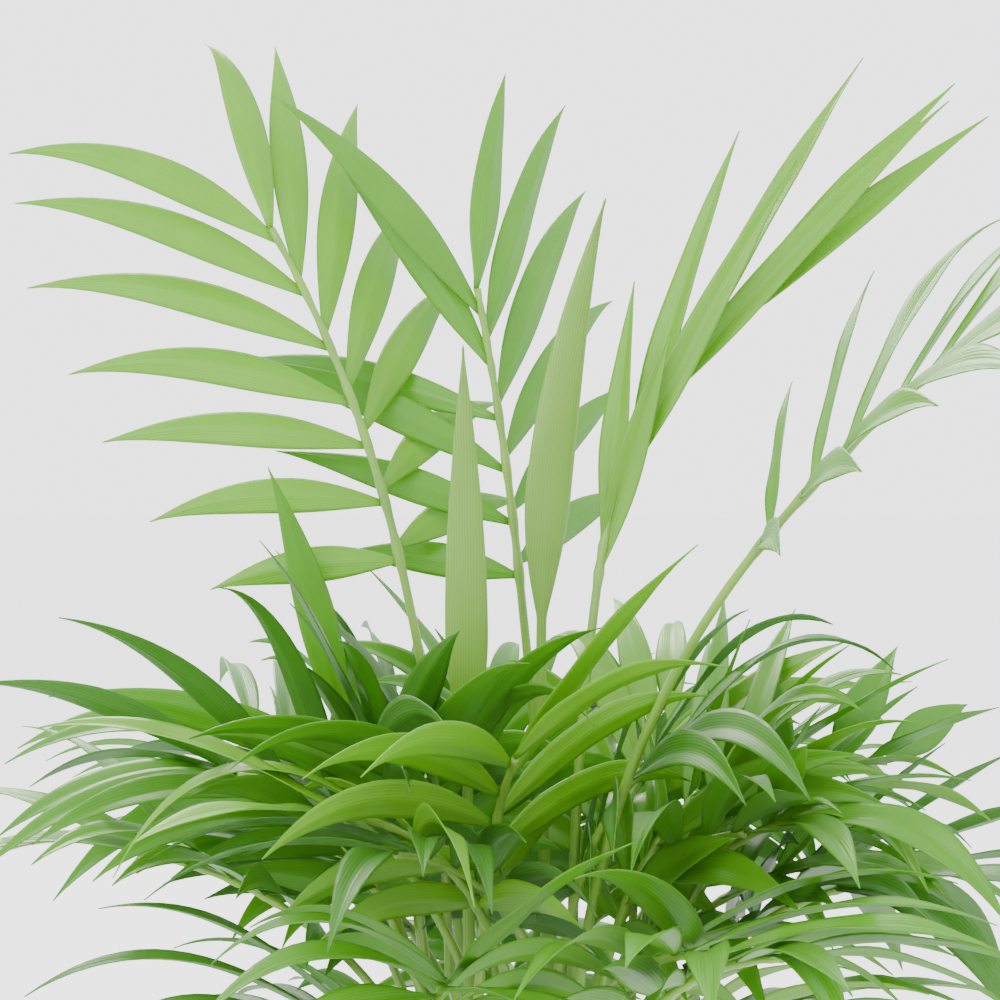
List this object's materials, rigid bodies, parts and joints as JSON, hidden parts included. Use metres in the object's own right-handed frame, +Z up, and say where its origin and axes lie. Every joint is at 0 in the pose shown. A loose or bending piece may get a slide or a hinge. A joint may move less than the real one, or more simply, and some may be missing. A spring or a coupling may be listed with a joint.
{
  "type": "potted bamboo palm",
  "caption": "Young clumping palm in a plain clay pot: short green canes, upright and arching feather fronds with long narrow leaflets.",
  "frame": {"origin": "centre of the pot's flat underside", "axes": "+Z up; the side seen in the picture faces -Y, with +X to its right"},
  "size_m": [0.4994, 0.4995, 0.6141],
  "materials": {
    "clay": "unglazed fired clay, matte",
    "soil": "moist potting soil, rough",
    "cane": "ringed green cane, satin",
    "leaf": "leaf blade, satin"
  },
  "bodies": {
    "root": {"pot": "clay", "soil": "soil", "cane_01": "cane", "cane_02": "cane", "cane_03": "cane", "cane_04": "cane", "cane_05": "cane", "cane_06": "cane", "cane_07": "cane", "cane_08": "cane", "cane_09": "cane", "cane_10": "cane", "cane_11": "cane", "spear_tall": "leaf", "spear_front": "leaf", "frond_tall_left": "leaf", "frond_tall_back": "leaf", "frond_opening_right": "leaf", "frond_front_right": "leaf", "frond_young_right": "leaf", "frond_side_left": "leaf", "frond_01": "leaf", "frond_02": "leaf", "frond_03": "leaf", "frond_04": "leaf", "frond_05": "leaf", "frond_06": "leaf", "frond_07": "leaf", "frond_08": "leaf", "frond_09": "leaf", "frond_10": "leaf", "frond_11": "leaf", "frond_12": "leaf", "frond_13": "leaf", "frond_14": "leaf", "frond_15": "leaf", "frond_16": "leaf", "frond_17": "leaf", "frond_18": "leaf", "frond_19": "leaf", "frond_20": "leaf", "frond_21": "leaf", "frond_22": "leaf", "frond_23": "leaf", "frond_24": "leaf", "frond_25": "leaf", "frond_26": "leaf", "frond_27": "leaf", "frond_28": "leaf", "frond_29": "leaf", "frond_30": "leaf", "frond_31": "leaf", "frond_32": "leaf", "frond_33": "leaf", "frond_34": "leaf", "frond_35": "leaf", "frond_36": "leaf", "frond_37": "leaf", "frond_38": "leaf", "frond_39": "leaf"}
  },
  "joints": []
}
